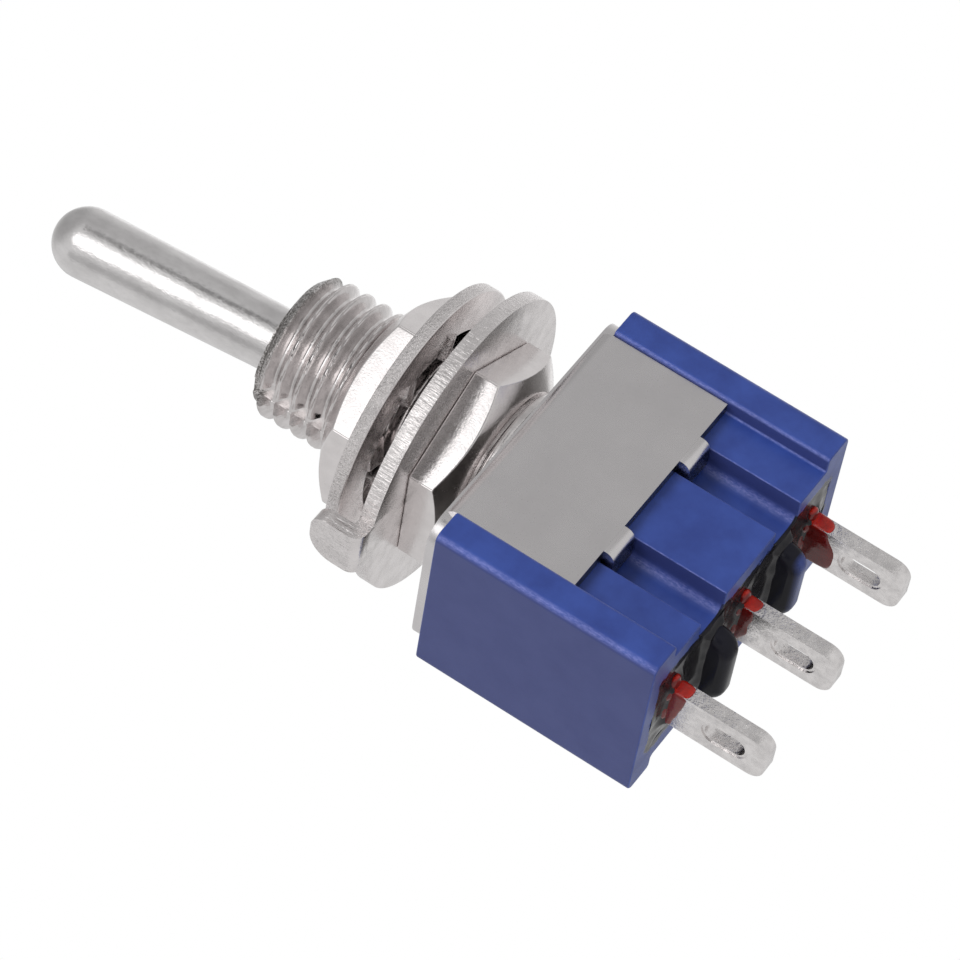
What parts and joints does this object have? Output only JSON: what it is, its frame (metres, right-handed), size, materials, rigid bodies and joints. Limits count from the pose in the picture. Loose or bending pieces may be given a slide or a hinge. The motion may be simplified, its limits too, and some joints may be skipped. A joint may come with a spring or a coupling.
{
  "type": "toggle switch",
  "caption": "Panel-mounting toggle switch: threaded bushing with nuts and washers, leaning bat lever, moulded case in a stamped frame, and flat terminals with solder slots.",
  "frame": {"origin": "on the bushing's axis, in the middle of the free thread above the upper nut", "axes": "+Z along the bushing towards the lever's tip, +X along the row of terminals, -X towards the locating ring's tab"},
  "size_m": [0.0135, 0.0124, 0.0345],
  "materials": {
    "lever": "satin nickel plate",
    "nickel": "bright nickel plate",
    "washer_steel": "plated, grained",
    "frame_steel": "plated, softly reflecting",
    "terminal_plate": "silver plate over brass",
    "contact": "silver",
    "rocker": "silver plate over brass",
    "case_blue": "soft sheen",
    "seal": "gloss",
    "varnish": "gloss",
    "plunger": "matt",
    "spring": "drawn wire"
  },
  "bodies": {
    "switch_body": {"bushing": "nickel", "upper_nut": "nickel", "lower_nut": "nickel", "lock_washer": "washer_steel", "locating_ring": "washer_steel", "frame": "frame_steel", "left_terminal": "terminal_plate", "centre_terminal": "terminal_plate", "right_terminal": "terminal_plate", "left_fixed_contact": "contact", "right_fixed_contact": "contact", "case": "case_blue", "base_seal": "seal", "left_varnish_bead": "varnish", "centre_varnish_bead": "varnish", "right_varnish_bead": "varnish"},
    "lever": {"lever": "lever", "plunger_spring": "spring"},
    "plunger": {"plunger": "plunger"},
    "rocker": {"rocker_contact": "rocker"}
  },
  "joints": [
    {"name": "lever_swing", "type": "hinge", "parent": "switch_body", "child": "lever", "pos_m": [0, 0, -0.0013], "axis": [0, 1, 0], "range_deg": [-7.5, 17.5]},
    {"name": "rocker_tilt", "type": "hinge", "parent": "switch_body", "child": "rocker", "pos_m": [0, 0, -0.0136], "axis": [0, 1, 0], "range_deg": [-10.5, 4.5]},
    {"name": "plunger_slide", "type": "slide", "parent": "lever", "child": "plunger", "axis": [0.0872, 0, -0.9962], "range_m": [-0.0005, 0], "stiffness_N_per_m": 500, "springref_m": 0.0015, "deforming": ["plunger_spring"]}
  ],
  "couplings": [
    {"joint": "rocker_tilt", "follows": "lever_swing", "ratio": -0.6}
  ]
}
